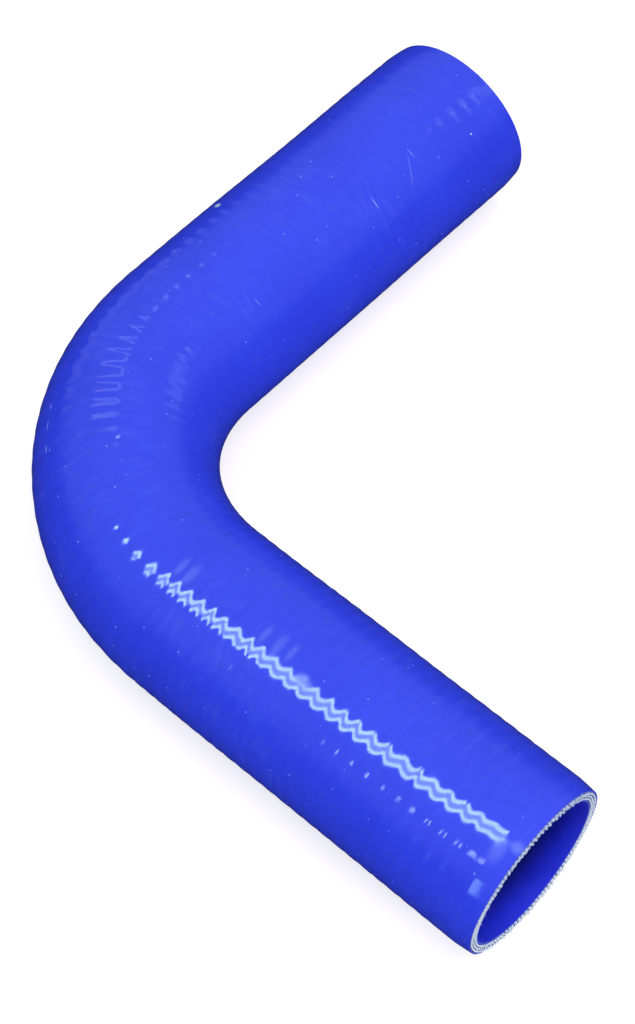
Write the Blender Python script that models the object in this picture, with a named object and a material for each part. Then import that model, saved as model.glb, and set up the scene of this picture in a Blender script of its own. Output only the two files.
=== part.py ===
"""Elbow hose of silicone rubber laid up over fabric: one moulded piece, open at both ends.

A straight leg runs along +X and another along +Y, joined by a quarter bend. A plain round bore goes
right through, and both ends are cut square. The curing tape that was wound round the hose has left a
shallow step at each of its turns. The hose lies flat on the floor, the middle of its box over the origin.
"""
import math

import bmesh
import bpy
from mathutils import Matrix, Vector

# Section of the hose, in metres
BORE_DIAMETER = 0.038
WALL = 0.0035

# Route of the centreline, in metres and degrees; a leg is measured from the corner to its cut end
NEAR_LEG_LENGTH = 0.156
FAR_LEG_LENGTH = 0.156
BEND_RADIUS = 0.055
BEND_ANGLE = 90.0

# Marks of the curing tape: how far a turn advances, how deep its step is, and where a turn is lowest
WRAP_PITCH = 0.0041
WRAP_DEPTH = 0.00013
WRAP_LOWEST_AT = 0.62

# Facets round the hose, and along the bore's bend
SIDES = 32
BORE_BEND_STEPS = 16

# Rings that are closer than this are one ring
WELD_DISTANCE = 0.00001

# Blue silicone rubber
COLOUR = (0.035, 0.05, 0.82, 1.0)
ROUGHNESS = 0.22

# The cut edges stay sharp, everything flatter than this is shaded smooth
SHARP_EDGE_ANGLE = math.radians(40.0)


def near_straight():
    """Length of the near leg from its cut end to the start of the bend."""
    return NEAR_LEG_LENGTH - BEND_RADIUS * math.tan(math.radians(BEND_ANGLE) / 2)


def far_straight():
    """Length of the far leg from the end of the bend to its cut end."""
    return FAR_LEG_LENGTH - BEND_RADIUS * math.tan(math.radians(BEND_ANGLE) / 2)


def bend_length():
    """Length of the bend along the centreline."""
    return BEND_RADIUS * math.radians(BEND_ANGLE)


def section_plane(distance):
    """Matrix that stands a circle of the XY plane across the centreline, at a distance from the near end.

    The route starts at the near end's cut, runs along -X, and turns to the right round the bend.
    """
    turned = min(max(distance - near_straight(), 0.0), bend_length()) / BEND_RADIUS
    beyond = max(distance - near_straight() - bend_length(), 0.0)
    along_near_leg = min(distance, near_straight())
    place = Vector((-along_near_leg, 0.0, 0.0))
    place += Vector((-math.sin(turned), 1.0 - math.cos(turned), 0.0)) * BEND_RADIUS
    place += Vector((-math.cos(turned), math.sin(turned), 0.0)) * beyond
    stand_up = Matrix.Rotation(math.radians(-90.0), 4, "Y")
    return Matrix.Translation(place) @ Matrix.Rotation(-turned, 4, "Z") @ stand_up


def wrapped_run(start, length):
    """Distances and radii along one run of the outside, a crest and a valley for each turn of tape."""
    outer_radius = BORE_DIAMETER / 2 + WALL
    turns = max(1, round(length / WRAP_PITCH))
    advance = length / turns
    rings = []
    for turn in range(turns):
        crest = start + turn * advance
        rings.append((crest, outer_radius))
        rings.append((crest + WRAP_LOWEST_AT * advance, outer_radius - WRAP_DEPTH))
    return rings


def outside_rings():
    """All rings of the outside, from the near end to the far end."""
    bend_start = near_straight()
    bend_end = bend_start + bend_length()
    rings = wrapped_run(0.0, near_straight())
    rings += wrapped_run(bend_start, bend_length())
    rings += wrapped_run(bend_end, far_straight())
    rings.append((bend_end + far_straight(), BORE_DIAMETER / 2 + WALL))
    return rings


def bore_rings():
    """All rings of the bore, which is smooth because it was formed on a mandrel."""
    radius = BORE_DIAMETER / 2
    rings = [(0.0, radius)]
    for step in range(BORE_BEND_STEPS + 1):
        rings.append((near_straight() + bend_length() * step / BORE_BEND_STEPS, radius))
    rings.append((near_straight() + bend_length() + far_straight(), radius))
    return rings


def sweep(bm, rings):
    """Extrude a circle from ring to ring; the last ring lies on the first one and is welded to it."""
    placed = [section_plane(distance) @ Matrix.Scale(radius, 4) for distance, radius in rings]
    bmesh.ops.create_circle(bm, cap_ends=False, segments=SIDES, radius=1.0, matrix=placed[0])
    edges = bm.edges[:]
    for before, after in zip(placed, placed[1:]):
        grown = bmesh.ops.extrude_edge_only(bm, edges=edges)["geom"]
        verts = [item for item in grown if isinstance(item, bmesh.types.BMVert)]
        new = set(verts)
        edges = [item for item in grown if isinstance(item, bmesh.types.BMEdge) and new.issuperset(item.verts)]
        bmesh.ops.transform(bm, matrix=after @ before.inverted(), verts=verts)
    bmesh.ops.remove_doubles(bm, verts=bm.verts[:], dist=WELD_DISTANCE)


def set_on_floor(bm):
    """Lay the hose on the floor, with the middle of its box over the origin."""
    low = Vector([min(vert.co[axis] for vert in bm.verts) for axis in range(3)])
    high = Vector([max(vert.co[axis] for vert in bm.verts) for axis in range(3)])
    middle = (low + high) / 2
    bmesh.ops.translate(bm, vec=(-middle.x, -middle.y, -low.z), verts=bm.verts[:])


def silicone_material():
    """Glossy blue silicone rubber."""
    material = bpy.data.materials.new("blue_silicone")
    material.use_nodes = True
    shader = material.node_tree.nodes["Principled BSDF"]
    shader.inputs["Base Color"].default_value = COLOUR
    shader.inputs["Roughness"].default_value = ROUGHNESS
    shader.inputs["Metallic"].default_value = 0.0
    material.diffuse_color = COLOUR
    return material


def make_hose():
    """The hose: along its outside, over the far end's cut, back through its bore, over the near end's cut."""
    outside = outside_rings()
    bore = bore_rings()
    bm = bmesh.new()
    sweep(bm, outside + bore[::-1] + outside[:1])
    bmesh.ops.recalc_face_normals(bm, faces=bm.faces[:])
    set_on_floor(bm)
    mesh = bpy.data.meshes.new("elbow_hose")
    bm.to_mesh(mesh)
    bm.free()
    mesh.materials.append(silicone_material())
    mesh.shade_smooth()
    mesh.set_sharp_from_angle(angle=SHARP_EDGE_ANGLE)
    hose = bpy.data.objects.new("elbow_hose", mesh)
    bpy.context.collection.objects.link(hose)
    return hose


def main():
    for old in list(bpy.data.objects):
        bpy.data.objects.remove(old, do_unlink=True)
    make_hose()


main()
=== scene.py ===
"""Elbow hose of glossy blue silicone rubber over white fabric, lying flat on a pale floor.

One fine closed mesh stands for the whole hose: its outside with the uneven steps that the curing tape
left, both cut ends with the edges of the wall's plies, and the smooth bore. The ends of the cut yarns
and a few frayed fibres stand on the cut faces as pieces of their own.
"""

import math

import bpy
import numpy as np
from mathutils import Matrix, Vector


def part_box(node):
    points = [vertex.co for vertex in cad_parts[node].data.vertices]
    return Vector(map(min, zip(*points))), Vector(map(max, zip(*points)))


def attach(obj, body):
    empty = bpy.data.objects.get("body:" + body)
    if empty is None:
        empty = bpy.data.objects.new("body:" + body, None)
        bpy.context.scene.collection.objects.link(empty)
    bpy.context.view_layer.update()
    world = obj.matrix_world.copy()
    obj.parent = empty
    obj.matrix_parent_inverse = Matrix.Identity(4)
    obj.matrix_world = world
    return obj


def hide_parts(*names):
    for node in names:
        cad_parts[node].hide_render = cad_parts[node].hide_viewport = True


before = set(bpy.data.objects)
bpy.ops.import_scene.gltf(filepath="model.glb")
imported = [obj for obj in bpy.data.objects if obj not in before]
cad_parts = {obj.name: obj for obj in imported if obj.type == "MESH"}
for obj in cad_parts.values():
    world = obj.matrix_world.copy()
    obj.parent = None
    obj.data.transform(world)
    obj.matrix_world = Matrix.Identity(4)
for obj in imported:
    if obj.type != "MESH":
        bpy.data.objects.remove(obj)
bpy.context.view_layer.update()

# Sizes that the frame gives, in metres: the hose lies flat, with its legs along +X and +Y
HOSE_NODE = "elbow_hose"
LOW, HIGH = (Vector(corner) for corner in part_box(HOSE_NODE))
OUTER_RADIUS = (HIGH.z - LOW.z) / 2
CORNER = np.array((LOW.x + OUTER_RADIUS, LOW.y + OUTER_RADIUS, LOW.z + OUTER_RADIUS))
LEG_LENGTH = HIGH.x - CORNER[0]

# Sizes that the box doesn't show
BEND_RADIUS = 0.055
BORE_RADIUS = 0.019

# The route along the centreline, from the near end's cut to the far end's
STRAIGHT = LEG_LENGTH - BEND_RADIUS
BEND_LENGTH = BEND_RADIUS * math.pi / 2
HOSE_LENGTH = 2 * STRAIGHT + BEND_LENGTH

# Mesh steps; the seam of the rings and of the UV map runs along the underside
SIDES = 112
RING_STEP = 0.00040
BORE_RING_STEP = 0.004
SEAM_ANGLE = math.radians(-90)
SHARP_EDGE_ANGLE = math.radians(50)
ROUTE_MAP = "along_and_round"

# Smooth noise: how many waves it sums, and the range of their lengths in shares of the asked size
WAVE_COUNT = 24
WAVE_LENGTHS = (0.8, 1.8)

# Steps of the curing tape: how far a turn advances, its spread as a share, and its limit in spreads
WRAP_PITCH = 0.00405
WRAP_PITCH_SPREAD = 0.14
WRAP_PITCH_LIMIT = 1.8
WRAP_SEED = 11

# The tape starts this many turns before the near end, and has a share of turns and some more to spare
WRAP_TURNS_BEFORE = 3
WRAP_SPARE_SHARE = 1.3
WRAP_SPARE_TURNS = 4

# How far a step strays from its helix, in turns, and the size of the strays
WRAP_WANDER = 0.07
WANDER_SIZE = 0.030
WANDER_SEED = 3

# Distance along the route and the slope in degrees that the steps' flanks have there
WRAP_SLOPES = (
    (0.011, 4.2),
    (0.021, 4.9),
    (0.030, 4.5),
    (0.050, 4.6),
    (0.056, 4.7),
    (0.062, 3.8),
    (0.070, 4.3),
    (0.100, 4.5),
    (0.150, 3.6),
    (0.200, 3.2),
    (0.215, 2.2),
    (0.262, 2.3),
    (0.268, 3.9),
    (0.281, 3.9),
    (0.286, 2.0),
)
WRAP_SLOPE_SPREAD = 0.20
SLOPE_PATCH_SIZE = 0.022
SLOPE_SEED = 5

# A step's profile: the share of a turn that its sharp flank takes, and the points it is drawn with
WRAP_FALL_SHARE = 0.4
PROFILE_POINTS = 400

# Round the bend a step is higher where the turns spread and lower where they crowd
BEND_FADE = 1.6
BEND_GAIN_LIMIT = 1.4

# The steps die out towards the near end, and the wall is pressed in a little at both rims
END_SMOOTH_FROM = 0.0135
END_SMOOTH_TO = 0.0055
END_PINCH = 0.00050
END_PINCH_REACH = 0.0046
END_PINCH_POWER = 1.15
RIM_RADIUS = OUTER_RADIUS - END_PINCH

# Slow unevenness of the outside
DENT_HEIGHT = 0.00006
DENT_SIZE = 0.035
DENT_SEED = 8

# The cut ends aren't quite square and stand a little beyond the legs' length; slants in degrees, sideways
# and upwards
NEAR_SLANT = (-0.3, -1.8)
NEAR_BEYOND = 0.00050
FAR_SLANT = (-0.6, -3.2)
FAR_BEYOND = 0.0007
SLANT_REACH = 0.030

# The near end is a little oval
OVAL_HEIGHT = 0.0008
OVAL_ANGLE = math.radians(115)
OVAL_REACH = 0.030

# The wall's layers at a cut end, and how far the edges of the rubber lie below the cut
COVER_THICKNESS = 0.00045
LINER_THICKNESS = 0.00045
PLIES = 3
GROOVE_DEPTH = 0.00022
CUT_EDGE_ROUNDING = 0.00012
COVER_EDGE_DEPTH = 0.00003
LINER_EDGE_DEPTH = 0.00004

# Rings across one ply, from its outer edge inwards: share of its width, and share of the groove's depth
PLY_RINGS = ((0.90, 1.0), (0.70, 0.35), (0.30, 0.30), (0.08, 1.0))

# Cut yarns: their spacing, and their width as a share of it where they stand apart and where they merge
YARN_PITCH = 0.00128
YARN_FILL = 0.66
YARN_MERGED_FILL = 1.06
MIDDLE_PLY_LOW_SIDE_FILL = 0.45
YARN_MERGE_POWER = 3
PLY_STAGGER = (0.0, 0.25, 0.5)

# How far the yarns stand out of the cut, and the share of it for each ply from the liner outwards
YARN_STANDS = 0.00050
YARN_MERGED_STANDS = 0.00012
YARN_LOW_SIDE_STANDS = 0.00055
PLY_STANDS = (0.75, 0.35, 1.0)

# Unevenness of the yarns: shares of their spacing, ply, width, height and size
YARN_SHIFT_ROUND = 0.12
YARN_SHIFT_OUT = 0.05
YARN_WIDTHS = (0.85, 1.08)
YARN_HEIGHTS = (0.6, 1.2)
YARN_LEAN = 0.35
YARN_ROUGHNESS = 0.10

# A yarn's end as a small dome: height and width of each ring, then its root and its slightly dished top
YARN_RINGS = ((-1.0, 0.92), (0.15, 1.0), (0.62, 0.90), (0.92, 0.62), (1.0, 0.30))
YARN_ROOT = -1.0
YARN_TOP = 0.90
YARN_ROUND_STEPS = 10
YARN_ROOT_DEPTH = 1.6 * GROOVE_DEPTH
NEAR_YARN_SEED = 21
FAR_YARN_SEED = 22

# Frayed fibres: thin spikes of three sides that spread, curl and taper
FRAYS_PER_END = 90
FRAY_LENGTH = 0.0012
FRAY_LENGTHS = (0.35, 1.0)
FRAY_RADIUS = 0.00005
FRAY_SPREAD = 0.9
FRAY_CURL = 0.6
FRAY_TAPER = 0.6
FRAY_STEPS = 4
FRAY_SIDES = 3
NEAR_FRAY_SEED = 31
FAR_FRAY_SEED = 32

# Colours of the outside
SILICONE_BLUE = (0.036, 0.058, 0.78, 1.0)
SILICONE_DEEP = (0.033, 0.052, 0.74, 1.0)
DUST_AND_PAINTED_HIGHLIGHT_COLOUR = (0.45, 0.55, 0.95, 1.0)
SPECK_COLOUR = (0.62, 0.80, 0.90, 1.0)

# Surface of the outside: its gloss, and what smears, smudges and specks of dust add to the roughness
SILICONE_IOR = 1.42
GLOSS_ROUGHNESS = 0.075
SMEAR_ROUGHNESS = 0.06
SMUDGE_ROUGHNESS = 0.16
SPECK_ROUGHNESS = 0.4

# How strongly the dust shows in the worn ridges, as specks, in scratches and in smudges; among the scratches
# and smudges its pale colour also makes painted glints and painted reflections
RIDGE_DUST = 0.035
SPECK_DUST = 0.26
SCRATCH_DUST_AND_GLINT = 0.45
SMUDGE_DUST_AND_REFLECTION = 0.10

# Cells of the dust specks for each metre, the share of cells that stay clean, and the largest speck
SPECK_CELLS = 190.0
CLEAN_CELLS = 0.62
SPECK_SIZE = 0.055

# How often a pattern repeats for each metre along the route and round it
RIDGE_SCALE = (620.0, 170.0, 1.0)
SMEAR_SCALE = (40.0, 160.0, 1.0)
LINE_SCALE = (750.0, 60.0, 1.0)

# Marks on the outside: distance along the route, angle round it, half length, half width, and turn; angles
# in degrees. A mark is full in its core, a share of its size.
SCRATCHES_AND_PAINTED_GLINTS = (
    (0.2403, 129.0, 0.0026, 0.00026, 89.0),
    (0.1976, 128.0, 0.0018, 0.00014, 85.0),
    (0.2540, 127.8, 0.0060, 0.00010, 120.8),
    (0.2572, 119.0, 0.0021, 0.00016, 86.0),
    (0.1386, 87.7, 0.0009, 0.00060, 60.0),
    # The last three are painted glints along the outer side of the bend, in the pale colour of the dust
    (0.1517, 38.5, 0.0010, 0.00030, 0.0),
    (0.1478, 37.8, 0.0016, 0.00030, 5.0),
    (0.1426, 36.6, 0.0014, 0.00030, 0.0),
)
WHITE_SPECKS = (
    (0.2137, 49.0, 0.0011, 0.0019, 20.0),
    (0.2750, 135.2, 0.00038, 0.00032, 0.0),
)
SMUDGES_AND_PAINTED_REFLECTIONS = (
    (0.0610, 71.5, 0.0032, 0.0022, 0.0),
    # These five, over the near leg, are painted reflections: pale bars above the double streak
    (0.0672, 80.0, 0.0013, 0.0036, 0.0),
    (0.0707, 79.0, 0.0017, 0.0040, 0.0),
    (0.0748, 79.0, 0.0013, 0.0036, 0.0),
    (0.0976, 80.0, 0.0018, 0.0040, 0.0),
    (0.1007, 80.0, 0.0013, 0.0040, 0.0),
    (0.0040, 64.0, 0.0024, 0.0045, 0.0),
    (0.0012, 72.0, 0.0022, 0.0022, 0.0),
)
MARK_CORE = 0.2

# The bore's colours near its mouth and further in, where the deeper colour is painted shade, the depths
# between which that painted shade comes in, and its dull gloss
BORE_LIT_DARK = (0.016, 0.023, 0.63, 1.0)
BORE_LIT_LIGHT = (0.022, 0.031, 0.72, 1.0)
BORE_PAINTED_SHADE = (0.0045, 0.0055, 0.11, 1.0)
BORE_SHADE_FROM = 0.003
BORE_SHADE_TO = 0.010
BORE_SPECULAR = 0.18

# Colours of a cut end, darker and lighter
CUT_RUBBER = ((0.04, 0.06, 0.50, 1.0), (0.10, 0.13, 0.72, 1.0))
# The binder's grey is painted shade, for the plies on the upper side of the cuts
BINDER_SHADED_GREY = ((0.09, 0.10, 0.28, 1.0), (0.22, 0.24, 0.44, 1.0))
BINDER_BLUE = ((0.012, 0.016, 0.16, 1.0), (0.04, 0.05, 0.34, 1.0))
YARN_COLOURS = ((0.46, 0.50, 0.70, 1.0), (0.96, 0.98, 1.0, 1.0))
FIBRE_COLOURS = ((0.60, 0.65, 0.80, 1.0), (0.85, 0.88, 0.95, 1.0))
YARN_SHEEN = 0.3

# Painted shade on the upper side of the cut ends: they grow greyer from this share of the hose's height, and
# the yarns darken to this tone at its top
GREYED_FROM = 0.3
YARN_TOP_SHADE_TONE = 0.15

# Depth of the fine relief on each surface
PEEL_HEIGHT = 0.000002
BORE_GRAIN_HEIGHT = 0.00001
RUBBER_GRAIN_HEIGHT = 0.00004
BINDER_GRAIN_HEIGHT = 0.00006
STRAND_HEIGHT = 0.00005

# Floor: half its width, and its colour for lighting, for the camera and for the hose's gloss
FLOOR_HALF = 4.0
FLOOR_PALE = (0.60, 0.60, 0.61, 1.0)
FLOOR_TO_CAMERA = (0.61, 0.50, 0.46, 1.0)
FLOOR_IN_GLOSS = (0.03, 0.03, 0.04, 1.0)
FLOOR_GLOW = 0.67
FLOOR_ROUGHNESS = 0.9

# World: its tint, the elevations in degrees over which the dome begins, and its strengths
WHITE = (1.0, 1.0, 1.0, 1.0)
SKY_TINT = (0.74, 0.92, 1.0, 1.0)
SKY_STARTS = -4
SKY_FULL = 24
SKY_AT_HORIZON = 0.38
SKY_AT_TOP = 0.90
SKY_LEAST = 0.04

# Twin tubes overhead, in metres and degrees, with the dimmer housing that shows between them
TUBE_HEIGHT = 2.0
TUBE_SKEW = math.radians(24.5)
TUBE_MIDDLE = (-0.710, -0.8765)
TUBE_LENGTH = 1.10
TUBE_GAP = 0.40
TUBE_WIDTH = 0.17
TUBE_RADIANCE = 20.5
TUBE_COLOUR = (0.66, 0.98, 1.0)
HOUSING_RADIANCE = 6.5

# Lamps that light the hose and aren't mirrored on it: name, place, aim, size, power in watts, and colour
PLAIN_LAMPS = (
    ("key", (0.52, -0.30, 1.7), (0, 0, 0.02), (1.0, 1.0), 11.5, (1.0, 0.99, 0.97)),
    ("end_fill", (0.49, -0.10, 0.13), (0.089, -0.067, 0.02), (0.16, 0.16), 0.58, (0.95, 0.98, 1.0)),
)

# Small lamps mirrored on the hose: name, the point that mirrors it, azimuth, elevation and distance from
# there, size, radiance, colour, and roll; angles in degrees
PALE_CYAN = (0.8, 0.95, 1.0)
MIRRORED_LAMPS = (
    ("row_lamp", (0.060, -0.080, 0.041), -103.5, 36.0, 2.0, (0.075, 0.21), 15.0, (0.75, 0.95, 1.0), 0.0),
    ("rim_lamp", (0.087, -0.0822, 0.0378), -93.75, 7.5, 2.0, (0.205, 0.72), 7.8, (0.45, 0.78, 1.0), 0.0),
    ("bend_lamp", (-0.0668, -0.0246, 0.0449), 162.0, 44.0, 2.0, (0.86, 0.12), 1.9, PALE_CYAN, -40.6),
    ("turn_lamp", (-0.0675, -0.0120, 0.0449), 147.0, 49.5, 0.5, (0.034, 0.060), 1.6, PALE_CYAN, 0.0),
    ("low_lamp", (-0.0745, -0.030, 0.0418), 168.0, 4.0, 2.0, (1.10, 0.52), 0.38, (0.7, 0.9, 1.0), 0.0),
    ("far_lamp", (-0.0556, 0.0758, 0.0420), 57.2, 42.7, 0.6, (0.150, 0.030), 1.3, PALE_CYAN, 44.4),
    ("inner_lamp", (-0.0503, -0.0300, 0.0410), 73.0, 32.0, 0.5, (0.080, 0.200), 0.80, PALE_CYAN, 0.0),
)

# Camera fitted to the hose's outline; angles in degrees, lens and sensor in millimetres
CAMERA_PLACE = (0.23148, -0.29269, 0.55329)
CAMERA_TURN = (33.9465, 0.0068, 42.2695)
CAMERA_LENS = 94.713
CAMERA_SENSOR = 36.0
CAMERA_CLIP_START = 0.01


def noise_waves(points, size, seed):
    """Smooth noise of about -1 to 1 at each point, with bumps of about the given size in metres."""
    rng = np.random.default_rng(seed)
    directions = rng.normal(size=(WAVE_COUNT, 3))
    directions /= np.linalg.norm(directions, axis=1, keepdims=True)
    pace = 2 * math.pi / (size * rng.uniform(*WAVE_LENGTHS, WAVE_COUNT))
    phases = rng.uniform(0, 2 * math.pi, WAVE_COUNT)
    waves = np.cos(points @ (directions * pace[:, None]).T + phases)
    return waves.sum(axis=-1) / math.sqrt(WAVE_COUNT)


def fade(distance, reach):
    """1 at a distance of zero, falling evenly to 0 at the given reach."""
    return np.clip(1 - distance / reach, 0, 1)


def route(distance):
    """Centre, outer side and direction of the hose at each distance from the near end's cut."""
    turned = np.clip((distance - STRAIGHT) / BEND_RADIUS, 0, math.pi / 2)
    along_near = np.minimum(distance, STRAIGHT)
    beyond = np.maximum(distance - STRAIGHT - BEND_LENGTH, 0)
    flat = np.zeros_like(turned)
    direction = np.stack((-np.cos(turned), np.sin(turned), flat), axis=-1)
    side = np.stack((-np.sin(turned), -np.cos(turned), flat), axis=-1)
    bend_offset = np.stack((-np.sin(turned), 1 - np.cos(turned), flat), axis=-1) * BEND_RADIUS
    start = CORNER + np.array((LEG_LENGTH, 0, 0))
    centre = start - along_near[..., None] * np.array((1, 0, 0)) + bend_offset
    return centre + direction * beyond[..., None], side, direction


def slant_push(distance, across, up):
    """How far a point moves along the route because the ends are cut slightly off square."""
    near = fade(distance, SLANT_REACH) ** 2
    far = fade(HOSE_LENGTH - distance, SLANT_REACH) ** 2
    near_tangents = np.tan(np.radians(NEAR_SLANT))
    far_tangents = np.tan(np.radians(FAR_SLANT))
    push = near * (across * near_tangents[0] + up * near_tangents[1] - NEAR_BEYOND)
    return push + far * (across * far_tangents[0] + up * far_tangents[1] + FAR_BEYOND)


def place_points(distance, angle, radius):
    """Points on the hose; the angle runs from the outer side of the bend over the top."""
    centre, side, direction = route(distance)
    across = radius * np.cos(angle)
    up = radius * np.sin(angle)
    near_oval = fade(distance, OVAL_REACH) ** 2
    swell = 1 + OVAL_HEIGHT / OUTER_RADIUS * near_oval * np.cos(2 * (angle - OVAL_ANGLE))
    push = slant_push(distance, across, up)
    points = centre + side * (across * swell)[..., None] + direction * push[..., None]
    points[..., 2] = np.maximum(points[..., 2] + up * swell, LOW.z)
    return points


def wrap_edges():
    """Distances at which each turn of the tape begins, unevenly spaced and past both ends."""
    rng = np.random.default_rng(WRAP_SEED)
    turns = int(HOSE_LENGTH / WRAP_PITCH * WRAP_SPARE_SHARE) + WRAP_SPARE_TURNS
    uneven = rng.normal(size=turns).clip(-WRAP_PITCH_LIMIT, WRAP_PITCH_LIMIT)
    pitches = WRAP_PITCH * (1 + WRAP_PITCH_SPREAD * uneven)
    return np.cumsum(pitches) - WRAP_TURNS_BEFORE * WRAP_PITCH


def step_profile():
    """Height over one turn of tape, in pitches for a slope of 1, running towards the near end.

    The flank that faces the near end breaks off sharply, the one that faces away is rounded.
    """
    share = np.linspace(0, 1, PROFILE_POINTS, endpoint=False)
    quarter = math.pi / 2
    steepening = 1 - 2 * np.sin(quarter * share / WRAP_FALL_SHARE)
    easing = 1 - 2 * np.cos(quarter * (share - WRAP_FALL_SHARE) / (1 - WRAP_FALL_SHARE))
    slope = np.where(share < WRAP_FALL_SHARE, steepening, easing)
    height = -np.cumsum(slope - slope.mean()) / len(share)
    return height - height.mean()


def tape_relief(distance, angle, points):
    """Height of the tape's steps at each point."""
    edges = wrap_edges()
    wander = WRAP_WANDER * noise_waves(points, WANDER_SIZE, WANDER_SEED)
    helix = (angle - SEAM_ANGLE) / (2 * math.pi)
    phase = np.interp(distance, edges, np.arange(len(edges))) + helix + wander
    profile = step_profile()
    places = np.linspace(0, 1, len(profile), endpoint=False)
    shape = np.interp(-phase % 1, places, profile, period=1)
    slope_places, slopes = zip(*WRAP_SLOPES)
    slope = np.radians(np.interp(distance, slope_places, slopes))
    slope *= 1 + WRAP_SLOPE_SPREAD * noise_waves(points, SLOPE_PATCH_SIZE, SLOPE_SEED)
    kept = np.clip((distance - END_SMOOTH_TO) / (END_SMOOTH_FROM - END_SMOOTH_TO), 0, 1)
    bent = (distance > STRAIGHT) & (distance < STRAIGHT + BEND_LENGTH)
    stretch = 1 + np.where(bent, OUTER_RADIUS / BEND_RADIUS * np.cos(angle), 0)
    return slope * WRAP_PITCH * shape * kept * np.minimum(stretch ** BEND_FADE, BEND_GAIN_LIMIT)


def end_pinch(distance):
    """How far the wall is pressed in close to a cut end: a short cone that begins softly."""
    nearest = np.minimum(distance, HOSE_LENGTH - distance)
    return END_PINCH * fade(nearest, END_PINCH_REACH) ** END_PINCH_POWER


def ring_angles():
    """Angles of the points of a ring, from the seam on the underside."""
    return SEAM_ANGLE + np.arange(SIDES) * 2 * math.pi / SIDES


def outside_rings():
    """Distance and radius of each point of the outside, a row for each ring from the near end on."""
    count = int(round(HOSE_LENGTH / RING_STEP)) + 1
    distance = np.linspace(0, HOSE_LENGTH, count)[:, None] * np.ones(SIDES)
    angle = ring_angles() * np.ones((count, 1))
    plain = place_points(distance, angle, np.full(distance.shape, OUTER_RADIUS))
    dents = DENT_HEIGHT * noise_waves(plain, DENT_SIZE, DENT_SEED)
    return distance, OUTER_RADIUS + tape_relief(distance, angle, plain) + dents - end_pinch(distance)


def bore_rings():
    """Rings of the bore from the far end to the near end, which stop short of the rounded mouths."""
    steps = int(round(HOSE_LENGTH / BORE_RING_STEP))
    rings = []
    for step in range(steps + 1):
        distance = HOSE_LENGTH * (1 - step / steps)
        distance = min(max(distance, CUT_EDGE_ROUNDING), HOSE_LENGTH - CUT_EDGE_ROUNDING)
        band = "cut_rubber" if step == 0 else "bore"
        rings.append((np.full(SIDES, distance), np.full(SIDES, BORE_RADIUS), band))
    return rings


def ply_radii():
    """Inner and outer radius of each ply, from the liner outwards."""
    inside = BORE_RADIUS + LINER_THICKNESS
    step = (RIM_RADIUS - COVER_THICKNESS - inside) / PLIES
    return [(inside + ply * step, inside + (ply + 1) * step) for ply in range(PLIES)]


def cut_profile():
    """Radius and depth of each ring of a cut face, from the cover inwards, and the band outside of it."""
    profile = [(RIM_RADIUS - COVER_THICKNESS, COVER_EDGE_DEPTH, "cut_rubber")]
    for low, high in reversed(ply_radii()):
        for width_share, depth_share in PLY_RINGS:
            profile.append((low + width_share * (high - low), depth_share * GROOVE_DEPTH, "binder"))
    profile.append((BORE_RADIUS + LINER_THICKNESS, LINER_EDGE_DEPTH, "cut_rubber"))
    profile.append((BORE_RADIUS + CUT_EDGE_ROUNDING, 0.0, "cut_rubber"))
    return profile


def hose_rings():
    """Every ring of the closed hose in turn: distances, radii and the material of the band before it.

    They run along the outside, over the far cut, back through the bore and over the near cut. Each cut
    begins with a ring that follows the outside's last one, so that its edge is rounded evenly.
    """
    distance, radius = outside_rings()
    profile = cut_profile()
    around = np.ones(SIDES)
    rings = [(*ring, "outside") for ring in zip(distance, radius)]
    rings.append((HOSE_LENGTH * around, radius[-1] - CUT_EDGE_ROUNDING, "outside"))
    for cut_radius, depth, material in profile:
        rings.append(((HOSE_LENGTH - depth) * around, cut_radius * around, material))
    rings += bore_rings()
    band = "cut_rubber"
    for cut_radius, depth, material in reversed(profile):
        rings.append((depth * around, cut_radius * around, band))
        band = material
    rings.append((0 * around, radius[0] - CUT_EDGE_ROUNDING, band))
    return rings


def add_object(name, mesh):
    """Smoothly shaded object of a mesh, in the scene."""
    mesh.shade_smooth()
    added = bpy.data.objects.new(name, mesh)
    bpy.context.collection.objects.link(added)
    return added


def build_hose(materials):
    """The whole hose as one closed mesh, with its lengthwise and round distances in a UV map."""
    hose = hose_rings()
    distances = np.array([ring[0] for ring in hose])
    radii = np.array([ring[1] for ring in hose])
    bands = [ring[2] for ring in hose[1:] + hose[:1]]
    count = len(hose)
    points = place_points(distances, ring_angles() * np.ones((count, 1)), radii)
    ring, side = np.meshgrid(np.arange(count), np.arange(SIDES), indexing="ij")
    next_ring = (ring + 1) % count
    next_side = (side + 1) % SIDES
    corners = ((ring, side), (ring, next_side), (next_ring, next_side), (next_ring, side))
    faces = np.stack([(r * SIDES + s).ravel() for r, s in corners], axis=-1)
    mesh = bpy.data.meshes.new("hose_skin")
    mesh.from_pydata(points.reshape(-1, 3), [], faces)
    names = list(materials)
    for name in names:
        mesh.materials.append(materials[name])
    slots = np.repeat([names.index(band) for band in bands], SIDES)
    mesh.polygons.foreach_set("material_index", slots.astype(np.int32))
    along = np.stack([distances[r, s].ravel() for r, s in corners], axis=-1)
    sides_round = np.stack([side, side + 1, side + 1, side], axis=-1).reshape(-1, 4)
    uv = np.stack((along, sides_round * (2 * math.pi / SIDES) * OUTER_RADIUS), axis=-1)
    layer = mesh.uv_layers.new(name=ROUTE_MAP)
    layer.data.foreach_set("uv", uv.ravel().astype(np.float32))
    added = add_object("hose", mesh)
    mesh.set_sharp_from_angle(angle=SHARP_EDGE_ANGLE)
    return added


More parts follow.
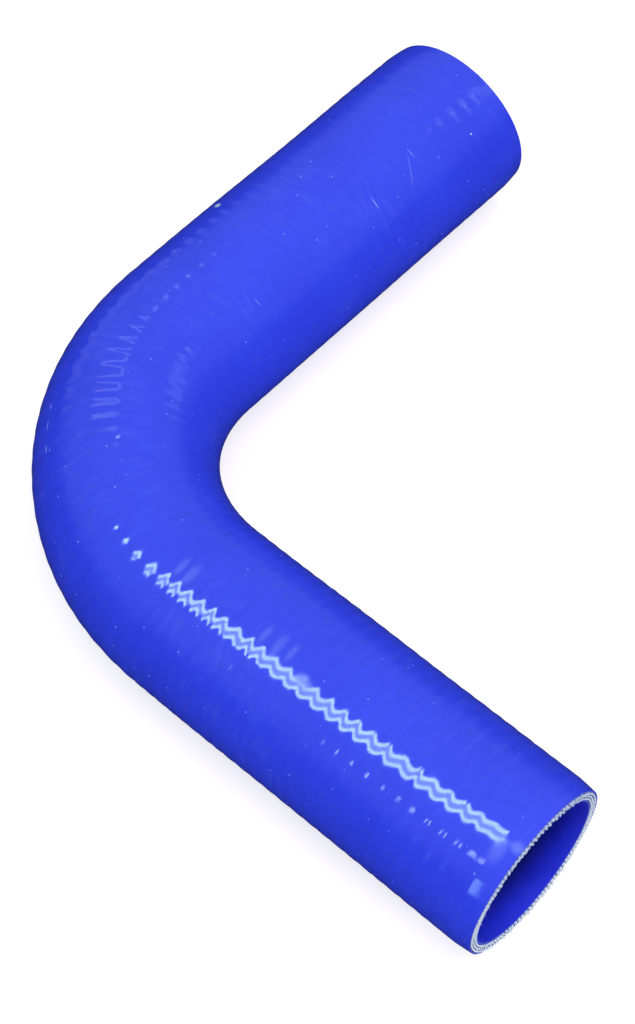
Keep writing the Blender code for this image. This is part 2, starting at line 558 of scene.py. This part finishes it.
def yarn_shape():
    """Unit dome of a cut yarn: a root below the face, and a top that is rounded and slightly dished."""
    angles = np.arange(YARN_ROUND_STEPS) * 2 * math.pi / YARN_ROUND_STEPS
    verts = []
    for height, width in YARN_RINGS:
        verts += [(width * math.cos(angle), width * math.sin(angle), height) for angle in angles]
    root, top = len(verts), len(verts) + 1
    verts += [(0, 0, YARN_ROOT), (0, 0, YARN_TOP)]
    faces = []
    for level in range(len(YARN_RINGS) - 1):
        below = level * YARN_ROUND_STEPS
        above = below + YARN_ROUND_STEPS
        for step in range(YARN_ROUND_STEPS):
            after = (step + 1) % YARN_ROUND_STEPS
            faces.append((below + step, below + after, above + after, above + step))
    last = (len(YARN_RINGS) - 1) * YARN_ROUND_STEPS
    for step in range(YARN_ROUND_STEPS):
        after = (step + 1) % YARN_ROUND_STEPS
        faces.append((root, after, step))
        faces.append((top, last + step, last + after))
    return np.array(verts), faces


def end_frame(at_far_end, angle, radius):
    """Point on a cut face, with the ways out of the face, outwards from the axis and round it."""
    distance = HOSE_LENGTH if at_far_end else 0.0
    point = place_points(np.array([distance]), np.array([angle]), np.array([radius]))[0]
    _, side, direction = route(np.array([distance]))
    out = direction[0] if at_far_end else -direction[0]
    radial = side[0] * math.cos(angle) + np.array((0, 0, math.sin(angle)))
    return point, out, radial, np.cross(out, radial)


def build_yarns(name, at_far_end, material, seed):
    """Ends of the cut yarns of every ply on one cut face.

    They merge into a low band on the inner and the outer side of the bend, and stand apart above and below.
    """
    rng = np.random.default_rng(seed)
    shape, shape_faces = yarn_shape()
    count = int(round(2 * math.pi * RIM_RADIUS / YARN_PITCH))
    verts = []
    faces = []
    for ply, (low, high) in enumerate(ply_radii()):
        thick = high - low
        for index in range(count):
            shift_round = rng.uniform(-YARN_SHIFT_ROUND, YARN_SHIFT_ROUND)
            angle = 2 * math.pi * (index + PLY_STAGGER[ply] + shift_round) / count
            radius = (low + high) / 2 + rng.uniform(-YARN_SHIFT_OUT, YARN_SHIFT_OUT) * thick
            point, out, radial, around = end_frame(at_far_end, angle, radius)
            merged = abs(math.cos(angle)) ** YARN_MERGE_POWER
            low_side = max(-math.sin(angle), 0)
            fill = YARN_FILL + (YARN_MERGED_FILL - YARN_FILL) * merged
            half_wide = YARN_PITCH / 2 * fill * rng.uniform(*YARN_WIDTHS)
            half_thick = thick / 2 * YARN_FILL * rng.uniform(*YARN_WIDTHS)
            stands = YARN_STANDS + (YARN_LOW_SIDE_STANDS - YARN_STANDS) * low_side
            stands *= PLY_STANDS[ply]
            tall = (stands + (YARN_MERGED_STANDS - stands) * merged) * rng.uniform(*YARN_HEIGHTS)
            if ply == PLIES // 2:
                half_wide *= 1 - (1 - MIDDLE_PLY_LOW_SIDE_FILL) * low_side
            lean = rng.uniform(-YARN_LEAN, YARN_LEAN)
            x, y, z = (shape * (1 + YARN_ROUGHNESS * rng.normal(size=(len(shape), 1)))).T
            height = z * np.where(z > 0, tall, YARN_ROOT_DEPTH)
            shifted = x * half_wide + lean * np.maximum(z, 0) * tall
            ways = np.outer(shifted, around) + np.outer(y * half_thick, radial) + np.outer(height, out)
            base = len(verts)
            verts += (point + ways).tolist()
            faces += [tuple(base + i for i in face) for face in shape_faces]
    mesh = bpy.data.meshes.new(name)
    mesh.from_pydata(verts, [], faces)
    mesh.materials.append(material)
    return add_object(name, mesh)


def build_frays(name, at_far_end, material, seed):
    """Loose fibres that stand out of the cut plies, each a thin bent spike."""
    rng = np.random.default_rng(seed)
    verts = []
    faces = []
    plies = ply_radii()
    for _ in range(FRAYS_PER_END):
        low, high = plies[rng.integers(PLIES)]
        angle = rng.uniform(0, 2 * math.pi)
        point, out, radial, around = end_frame(at_far_end, angle, rng.uniform(low, high))
        spread_out, spread_round = rng.uniform(-FRAY_SPREAD, FRAY_SPREAD, 2)
        curl_out, curl_round = rng.uniform(-FRAY_CURL, FRAY_CURL, 2)
        length = FRAY_LENGTH * rng.uniform(*FRAY_LENGTHS)
        aim = out + radial * spread_out + around * spread_round
        curl = radial * curl_out + around * curl_round
        root = point - out * GROOVE_DEPTH
        base = len(verts)
        for step in range(FRAY_STEPS):
            share = step / FRAY_STEPS
            middle = root + aim * (length * share) + curl * (length * share * share)
            width = FRAY_RADIUS * (1 - FRAY_TAPER * share)
            for corner in range(FRAY_SIDES):
                turn = corner * 2 * math.pi / FRAY_SIDES
                verts.append(middle + (radial * math.cos(turn) + around * math.sin(turn)) * width)
        tip = len(verts)
        verts.append(root + (aim + curl) * length)
        faces.append(tuple(base + corner for corner in reversed(range(FRAY_SIDES))))
        for corner in range(FRAY_SIDES):
            after = (corner + 1) % FRAY_SIDES
            for here in range(base, tip - FRAY_SIDES, FRAY_SIDES):
                ahead = here + FRAY_SIDES
                faces.append((here + corner, here + after, ahead + after, ahead + corner))
            faces.append((tip - FRAY_SIDES + corner, tip - FRAY_SIDES + after, tip))
    mesh = bpy.data.meshes.new(name)
    mesh.from_pydata([tuple(vert) for vert in verts], [], faces)
    mesh.materials.append(material)
    return add_object(name, mesh)


class Nodes:
    """Adds and links nodes of one node tree."""

    def __init__(self, tree):
        self.tree = tree

    def add(self, kind, **settings):
        """A node of the given kind, with its settings."""
        node = self.tree.nodes.new(kind)
        for name, value in settings.items():
            setattr(node, name, value)
        return node

    def feed(self, socket, value):
        """Link a socket from an output, or set it to a plain value."""
        if isinstance(value, bpy.types.NodeSocket):
            self.tree.links.new(value, socket)
        else:
            socket.default_value = value

    def math(self, operation, first, second):
        """Result of an operation on two values."""
        node = self.add("ShaderNodeMath", operation=operation)
        self.feed(node.inputs[0], first)
        self.feed(node.inputs[1], second)
        return node.outputs[0]

    def ramp(self, value, low=0.0, high=1.0, start=0.0, end=1.0, smooth=False):
        """Map low..high to start..end, held at both ends."""
        node = self.add("ShaderNodeMapRange", interpolation_type="SMOOTHSTEP" if smooth else "LINEAR")
        for index, item in enumerate((value, low, high, start, end)):
            self.feed(node.inputs[index], item)
        return node.outputs[0]

    def mix_colour(self, factor, first, second):
        """First colour at a factor of 0, second at 1."""
        node = self.add("ShaderNodeMix", data_type="RGBA")
        self.feed(node.inputs["Factor"], factor)
        self.feed(node.inputs[6], first)
        self.feed(node.inputs[7], second)
        return node.outputs[2]

    def noise(self, vector, scale, detail=2.0, rough=0.5):
        """Noise of about 0.2 to 0.8."""
        node = self.add("ShaderNodeTexNoise")
        self.feed(node.inputs["Vector"], vector)
        node.inputs["Scale"].default_value = scale
        node.inputs["Detail"].default_value = detail
        node.inputs["Roughness"].default_value = rough
        return node.outputs["Fac"]

    def stretched(self, vector, scale):
        """A vector scaled by its own amount along each axis."""
        node = self.add("ShaderNodeMapping", vector_type="POINT")
        self.feed(node.inputs["Vector"], vector)
        node.inputs["Scale"].default_value = scale
        return node.outputs[0]

    def bump(self, height, distance, normal=None):
        """Normal bent by a height of 0 to 1 that stands for a distance in metres."""
        node = self.add("ShaderNodeBump")
        node.inputs["Strength"].default_value = 1.0
        node.inputs["Distance"].default_value = distance
        self.feed(node.inputs["Height"], height)
        if normal is not None:
            self.feed(node.inputs["Normal"], normal)
        return node.outputs[0]

    def place(self):
        """Place in the object, in metres."""
        return self.add("ShaderNodeTexCoord").outputs["Object"]

    def route_map(self):
        """Place on the hose: the distance along its route and the one round it."""
        return self.add("ShaderNodeUVMap", uv_map=ROUTE_MAP).outputs[0]

    def part_of(self, vector, axis):
        """One part of a vector: X, Y or Z."""
        node = self.add("ShaderNodeSeparateXYZ")
        self.feed(node.inputs[0], vector)
        return node.outputs[axis]

    def to_camera(self):
        """1 for rays that come straight from the camera or through something clear, otherwise 0."""
        rays = self.add("ShaderNodeLightPath")
        return self.math("MAXIMUM", rays.outputs["Is Camera Ray"], rays.outputs["Is Transmission Ray"])


def new_material(name):
    """A node material, with its tree's helper and its shader."""
    material = bpy.data.materials.new(name)
    material.use_nodes = True
    return material, Nodes(material.node_tree), material.node_tree.nodes["Principled BSDF"]


def mark(n, route_map, distance, angle, half_length, half_width, turn):
    """Soft mask of a long or round spot on the outside, 1 in its middle and 0 beyond its edge."""
    node = n.add("ShaderNodeMapping", vector_type="TEXTURE")
    n.feed(node.inputs["Vector"], route_map)
    round_way = (math.radians(angle) - SEAM_ANGLE) * OUTER_RADIUS
    node.inputs["Location"].default_value = (distance, round_way, 0.0)
    node.inputs["Rotation"].default_value = (0.0, 0.0, math.radians(turn))
    node.inputs["Scale"].default_value = (half_length, half_width, 1.0)
    reach = n.add("ShaderNodeVectorMath", operation="LENGTH")
    n.feed(reach.inputs[0], node.outputs[0])
    return n.ramp(reach.outputs["Value"], low=MARK_CORE, start=1.0, end=0.0, smooth=True)


def marks_mask(n, route_map, marks):
    """The strongest of several marks at each place."""
    mask = mark(n, route_map, *marks[0])
    for values in marks[1:]:
        mask = n.math("MAXIMUM", mask, mark(n, route_map, *values))
    return mask


def dust_specks(n, route_map):
    """Mask of round specks of dust, one in the middle of each cell that isn't clean."""
    cells = n.add("ShaderNodeTexVoronoi", feature="F1", voronoi_dimensions="2D")
    n.feed(cells.inputs["Vector"], route_map)
    cells.inputs["Scale"].default_value = SPECK_CELLS
    chance = n.add("ShaderNodeSeparateColor")
    n.feed(chance.inputs[0], cells.outputs["Color"])
    size = n.ramp(chance.outputs[0], low=CLEAN_CELLS, end=SPECK_SIZE)
    return n.math("LESS_THAN", cells.outputs["Distance"], size)


def silicone_material():
    """Glossy blue silicone with faint mottling, orange peel, fine weave lines, dust and scuffs, and painted
    glints and reflections in the dust's pale colour.
    """
    material, n, shader = new_material("blue_silicone")
    place = n.place()
    route_map = n.route_map()
    mottle = n.ramp(n.noise(place, scale=60.0, detail=3.0, rough=0.6), low=0.35, high=0.65)
    ridges = n.ramp(n.noise(n.stretched(route_map, RIDGE_SCALE), scale=1.0), low=0.52, high=0.72)
    worn = n.ramp(n.noise(place, scale=28.0, detail=1.0), low=0.42, high=0.62)
    streaky = n.noise(n.stretched(route_map, SMEAR_SCALE), scale=1.0, detail=4.0, rough=0.6)
    smear = n.ramp(streaky, low=0.45, high=0.75)
    speck = dust_specks(n, route_map)
    scratch_and_glint = marks_mask(n, route_map, SCRATCHES_AND_PAINTED_GLINTS)
    smudge_and_reflection = marks_mask(n, route_map, SMUDGES_AND_PAINTED_REFLECTIONS)
    colour = n.mix_colour(mottle, SILICONE_DEEP, SILICONE_BLUE)
    # Pale marks: real dust, and painted glints and painted reflections among the scratches and smudges
    dust_and_highlights = ((n.math("MULTIPLY", ridges, worn), RIDGE_DUST), (speck, SPECK_DUST))
    dust_and_highlights += ((scratch_and_glint, SCRATCH_DUST_AND_GLINT), (smudge_and_reflection, SMUDGE_DUST_AND_REFLECTION))
    for mask, strength in dust_and_highlights:
        colour = n.mix_colour(n.math("MULTIPLY", mask, strength), colour, DUST_AND_PAINTED_HIGHLIGHT_COLOUR)
    colour = n.mix_colour(marks_mask(n, route_map, WHITE_SPECKS), colour, SPECK_COLOUR)
    n.feed(shader.inputs["Base Color"], colour)
    roughness = GLOSS_ROUGHNESS
    for mask, added in ((smear, SMEAR_ROUGHNESS), (smudge_and_reflection, SMUDGE_ROUGHNESS), (speck, SPECK_ROUGHNESS)):
        roughness = n.math("ADD", n.math("MULTIPLY", mask, added), roughness)
    n.feed(shader.inputs["Roughness"], roughness)
    shader.inputs["IOR"].default_value = SILICONE_IOR
    peel = n.bump(n.noise(place, scale=900.0), PEEL_HEIGHT)
    lines = n.noise(n.stretched(route_map, LINE_SCALE), scale=1.0)
    n.feed(shader.inputs["Normal"], n.bump(lines, PEEL_HEIGHT, peel))
    return material


def bore_material():
    """The bore's blue liner, duller than the outside because it was formed on a mandrel, and darkened by
    painted shade further in from each mouth.
    """
    material, n, shader = new_material("bore_silicone")
    place = n.place()
    cloudy = n.ramp(n.noise(place, scale=120.0, detail=3.0, rough=0.6), low=0.35, high=0.7)
    along = n.part_of(n.route_map(), "X")
    depth = n.math("MINIMUM", along, n.math("SUBTRACT", HOSE_LENGTH, along))
    # Painted shade: the colour darkens with depth from each mouth, where less light reaches into the bore
    painted_depth_shade = n.ramp(depth, BORE_SHADE_FROM, BORE_SHADE_TO, smooth=True)
    lit = n.mix_colour(cloudy, BORE_LIT_DARK, BORE_LIT_LIGHT)
    n.feed(shader.inputs["Base Color"], n.mix_colour(painted_depth_shade, lit, BORE_PAINTED_SHADE))
    n.feed(shader.inputs["Roughness"], n.ramp(cloudy, start=0.42, end=0.52))
    shader.inputs["IOR"].default_value = SILICONE_IOR
    shader.inputs["Specular IOR Level"].default_value = BORE_SPECULAR
    n.feed(shader.inputs["Normal"], n.bump(n.noise(place, scale=1400.0, rough=0.6), BORE_GRAIN_HEIGHT))
    return material


def cut_rubber_material():
    """Matt cut edge of the rubber cover and liner."""
    material, n, shader = new_material("cut_rubber")
    grain = n.noise(n.place(), scale=2500.0, detail=3.0, rough=0.7)
    n.feed(shader.inputs["Base Color"], n.mix_colour(grain, *CUT_RUBBER))
    n.feed(shader.inputs["Roughness"], n.ramp(grain, low=0.3, high=0.7, start=0.45, end=0.65))
    n.feed(shader.inputs["Normal"], n.bump(grain, RUBBER_GRAIN_HEIGHT))
    return material


def rise_in_hose(n, place):
    """How high a point lies in the hose, from 0 on its lower third to 1 at its top."""
    start = LOW.z + GREYED_FROM * (HIGH.z - LOW.z)
    return n.ramp(n.part_of(place, "Z"), start, HIGH.z, smooth=True)


def binder_material():
    """Rubber that holds the plies together, seen in the grooves of a cut end: blue below, and above a grey
    that is painted shade of the plies.
    """
    material, n, shader = new_material("ply_binder")
    place = n.place()
    grain = n.noise(place, scale=3000.0, detail=3.0, rough=0.7)
    # Painted shade: grey on the upper side of the cut, where the plies lie in shade
    shaded_grey = n.mix_colour(grain, *BINDER_SHADED_GREY)
    blue = n.mix_colour(grain, *BINDER_BLUE)
    n.feed(shader.inputs["Base Color"], n.mix_colour(rise_in_hose(n, place), blue, shaded_grey))
    n.feed(shader.inputs["Roughness"], n.ramp(grain, low=0.3, high=0.7, start=0.6, end=0.85))
    n.feed(shader.inputs["Normal"], n.bump(grain, BINDER_GRAIN_HEIGHT))
    return material


def yarn_material(name, colours):
    """Off-white polyester yarn, with fine filaments and a soft sheen, darkened by painted shade towards the
    top of the hose.
    """
    material, n, shader = new_material(name)
    place = n.place()
    clump = n.noise(place, scale=900.0, rough=0.6)
    strands = n.noise(place, scale=5000.0, detail=3.0, rough=0.7)
    # Painted shade: the yarns darken towards the top of the hose, where the cut faces lie in shade
    painted_top_shade = n.ramp(rise_in_hose(n, place), start=1.0, end=YARN_TOP_SHADE_TONE)
    clumped = n.ramp(clump, low=0.3, high=0.7, start=0.6)
    stranded = n.ramp(strands, low=0.2, high=0.8, start=0.6)
    tone = n.math("MULTIPLY", n.math("MULTIPLY", clumped, stranded), painted_top_shade)
    n.feed(shader.inputs["Base Color"], n.mix_colour(tone, *colours))
    n.feed(shader.inputs["Roughness"], n.ramp(strands, low=0.3, high=0.7, start=0.55, end=0.8))
    shader.inputs["Sheen Weight"].default_value = YARN_SHEEN
    n.feed(shader.inputs["Normal"], n.bump(strands, STRAND_HEIGHT))
    return material


def build_floor():
    """Pale floor, white to the camera wherever the light reaches it, dull and dark to the hose's gloss."""
    corners = [(x * FLOOR_HALF, y * FLOOR_HALF, 0) for x, y in ((-1, -1), (1, -1), (1, 1), (-1, 1))]
    mesh = bpy.data.meshes.new("floor")
    mesh.from_pydata(corners, [], [(0, 1, 2, 3)])
    material, n, shader = new_material("pale_floor")
    to_camera = n.to_camera()
    in_gloss = n.add("ShaderNodeLightPath").outputs["Is Glossy Ray"]
    pale = n.mix_colour(to_camera, FLOOR_PALE, FLOOR_TO_CAMERA)
    n.feed(shader.inputs["Base Color"], n.mix_colour(in_gloss, pale, FLOOR_IN_GLOSS))
    shader.inputs["Roughness"].default_value = FLOOR_ROUGHNESS
    shader.inputs["Specular IOR Level"].default_value = 0.0
    shader.inputs["Emission Color"].default_value = WHITE
    n.feed(shader.inputs["Emission Strength"], n.math("MULTIPLY", to_camera, FLOOR_GLOW))
    mesh.materials.append(material)
    floor = add_object("floor", mesh)


def build_world():
    """White behind the hose for the camera; for all other rays a soft dome over a dark horizon."""
    world = bpy.data.worlds.new("studio")
    bpy.context.scene.world = world
    world.use_nodes = True
    n = Nodes(world.node_tree)
    background = world.node_tree.nodes["Background"]
    height = n.part_of(n.add("ShaderNodeTexCoord").outputs["Generated"], "Z")
    lowest, highest = (math.sin(math.radians(elevation)) for elevation in (SKY_STARTS, SKY_FULL))
    edge = n.ramp(height, lowest, highest, smooth=True)
    rise = n.ramp(height, start=SKY_AT_HORIZON, end=SKY_AT_TOP)
    dome = n.math("ADD", n.math("MULTIPLY", edge, rise), SKY_LEAST)
    to_camera = n.to_camera()
    n.feed(background.inputs["Color"], n.mix_colour(to_camera, SKY_TINT, WHITE))
    n.feed(background.inputs["Strength"], n.ramp(to_camera, start=dome))


def add_lamp(name, place, size, power, colour):
    """Rectangular lamp at a place, facing straight down."""
    data = bpy.data.lights.new(name, "AREA")
    data.shape = "RECTANGLE"
    data.size, data.size_y = size
    data.energy = power
    data.color = colour
    lamp = bpy.data.objects.new(name, data)
    lamp.location = place
    lamp.visible_camera = False
    bpy.context.collection.objects.link(lamp)
    return lamp


def aim_lamp(lamp, aim, roll=0.0):
    """Turn a lamp to face a point; roll, in degrees, turns it about its own beam."""
    lamp.rotation_euler = (Vector(aim) - lamp.location).to_track_quat("-Z", "Y").to_euler()
    lamp.rotation_euler.rotate_axis("Z", math.radians(roll))


def radiance_power(radiance, size):
    """Power of a rectangular lamp that shows the given radiance."""
    return radiance * math.pi * size[0] * size[1]


def build_tubes():
    """Twin fluorescent tubes overhead, which draw the double streak along the near leg."""
    across = Vector((-math.sin(TUBE_SKEW), math.cos(TUBE_SKEW), 0))
    middle = Vector((*TUBE_MIDDLE, TUBE_HEIGHT))
    strips = (
        ("tube_a", TUBE_GAP / 2, TUBE_WIDTH, TUBE_RADIANCE),
        ("tube_b", -TUBE_GAP / 2, TUBE_WIDTH, TUBE_RADIANCE),
        ("tube_housing", 0.0, TUBE_GAP - TUBE_WIDTH, HOUSING_RADIANCE),
    )
    for name, offset, width, radiance in strips:
        size = (TUBE_LENGTH, width)
        lamp = add_lamp(name, middle + across * offset, size, radiance_power(radiance, size), TUBE_COLOUR)
        lamp.rotation_euler = (0, 0, TUBE_SKEW)
        lamp.visible_diffuse = False


def build_lamps():
    """The broad key from the camera's side, the fill at the near end and the lamps mirrored on the hose."""
    for name, place, aim, size, power, colour in PLAIN_LAMPS:
        lamp = add_lamp(name, place, size, power, colour)
        aim_lamp(lamp, aim)
        lamp.visible_glossy = False
    for name, point, azimuth, elevation, distance, size, radiance, colour, roll in MIRRORED_LAMPS:
        turn, rise = math.radians(azimuth), math.radians(elevation)
        way = Vector((math.cos(rise) * math.cos(turn), math.cos(rise) * math.sin(turn), math.sin(rise)))
        lamp = add_lamp(name, Vector(point) + way * distance, size, radiance_power(radiance, size), colour)
        aim_lamp(lamp, point, roll)


def build_camera():
    """Camera at the photograph's viewpoint."""
    data = bpy.data.cameras.new("camera")
    data.lens = CAMERA_LENS
    data.sensor_width = CAMERA_SENSOR
    data.sensor_fit = "AUTO"
    data.clip_start = CAMERA_CLIP_START
    camera = bpy.data.objects.new("camera", data)
    camera.location = CAMERA_PLACE
    camera.rotation_euler = [math.radians(angle) for angle in CAMERA_TURN]
    bpy.context.collection.objects.link(camera)
    bpy.context.scene.camera = camera


def build_object():
    """The hose and what stands on its cut faces."""
    materials = {
        "outside": silicone_material(),
        "bore": bore_material(),
        "cut_rubber": cut_rubber_material(),
        "binder": binder_material(),
    }
    yarn = yarn_material("white_yarn", YARN_COLOURS)
    fibre = yarn_material("loose_fibre", FIBRE_COLOURS)
    hose = build_hose(materials)
    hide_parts(HOSE_NODE)
    pieces = [hose]
    pieces.append(build_yarns("near_yarn_ends", False, yarn, NEAR_YARN_SEED))
    pieces.append(build_yarns("far_yarn_ends", True, yarn, FAR_YARN_SEED))
    pieces.append(build_frays("near_frayed_fibres", False, fibre, NEAR_FRAY_SEED))
    pieces.append(build_frays("far_frayed_fibres", True, fibre, FAR_FRAY_SEED))
    for piece in pieces:
        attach(piece, "root")


build_camera()
build_object()
build_floor()
build_world()
build_tubes()
build_lamps()

bpy.context.scene.view_settings.view_transform = "Standard"
